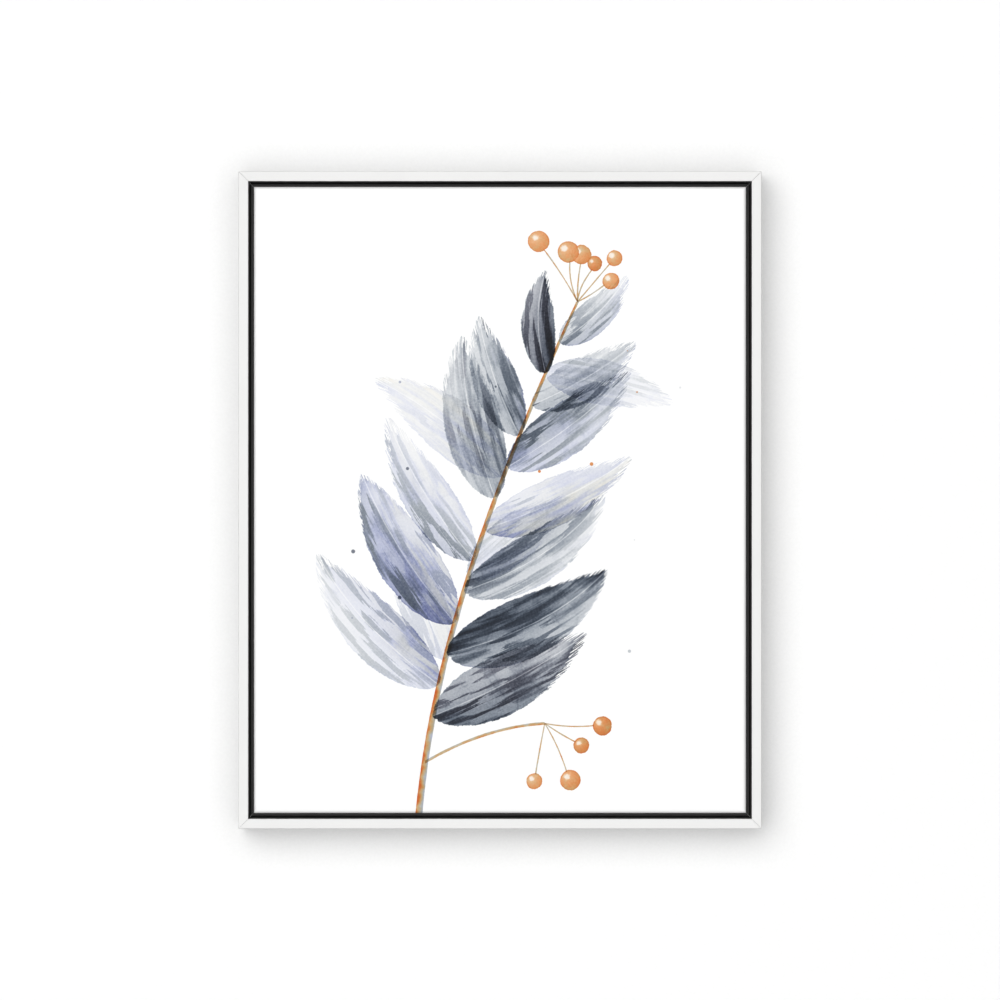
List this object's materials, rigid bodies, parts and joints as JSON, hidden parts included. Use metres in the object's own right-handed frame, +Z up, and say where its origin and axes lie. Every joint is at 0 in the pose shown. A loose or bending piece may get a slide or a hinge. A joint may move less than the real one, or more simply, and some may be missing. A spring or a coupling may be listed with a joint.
{
  "type": "framed canvas print",
  "caption": "Stretched canvas print floating in a slim white wall frame, with a narrow black shadow gap round it and a sawtooth hanger behind.",
  "frame": {"origin": "where the wall's hook bears in the sawtooth hanger's centre notch, taken in the plane of the wall", "axes": "+Z up the wall, +Y into the wall so that the picture faces -Y, +X to the viewer's right"},
  "size_m": [0.5936, 0.0411, 0.746],
  "materials": {
    "white_lacquer": "satin white lacquer on wood",
    "black_lacquer": "matt black paint on wood",
    "primed_cotton": "primed white cotton canvas, printed in front with a loose watercolour branch",
    "pine": "planed, unfinished",
    "beech": "sawn, unfinished",
    "zinc_plated_steel": "bright zinc plate",
    "bumper_rubber": "soft matt"
  },
  "bodies": {
    "root": {"rail_top": "white_lacquer", "rail_right": "white_lacquer", "rail_bottom": "white_lacquer", "rail_left": "white_lacquer", "bed_top": "black_lacquer", "bed_right": "black_lacquer", "bed_bottom": "black_lacquer", "bed_left": "black_lacquer", "canvas": "primed_cotton", "bar_top": "pine", "bar_right": "pine", "bar_bottom": "pine", "bar_left": "pine", "key_top_left_across": "beech", "key_top_left_upright": "beech", "key_top_right_across": "beech", "key_top_right_upright": "beech", "key_bottom_right_across": "beech", "key_bottom_right_upright": "beech", "key_bottom_left_across": "beech", "key_bottom_left_upright": "beech", "bed_screw_top_a": "zinc_plated_steel", "bed_screw_top_b": "zinc_plated_steel", "bed_screw_right_a": "zinc_plated_steel", "bed_screw_right_b": "zinc_plated_steel", "bed_screw_bottom_a": "zinc_plated_steel", "bed_screw_bottom_b": "zinc_plated_steel", "bed_screw_left_a": "zinc_plated_steel", "bed_screw_left_b": "zinc_plated_steel", "sawtooth_hanger": "zinc_plated_steel", "hanger_screw_left": "zinc_plated_steel", "hanger_screw_right": "zinc_plated_steel", "bumper_left": "bumper_rubber", "bumper_right": "bumper_rubber"}
  },
  "joints": []
}
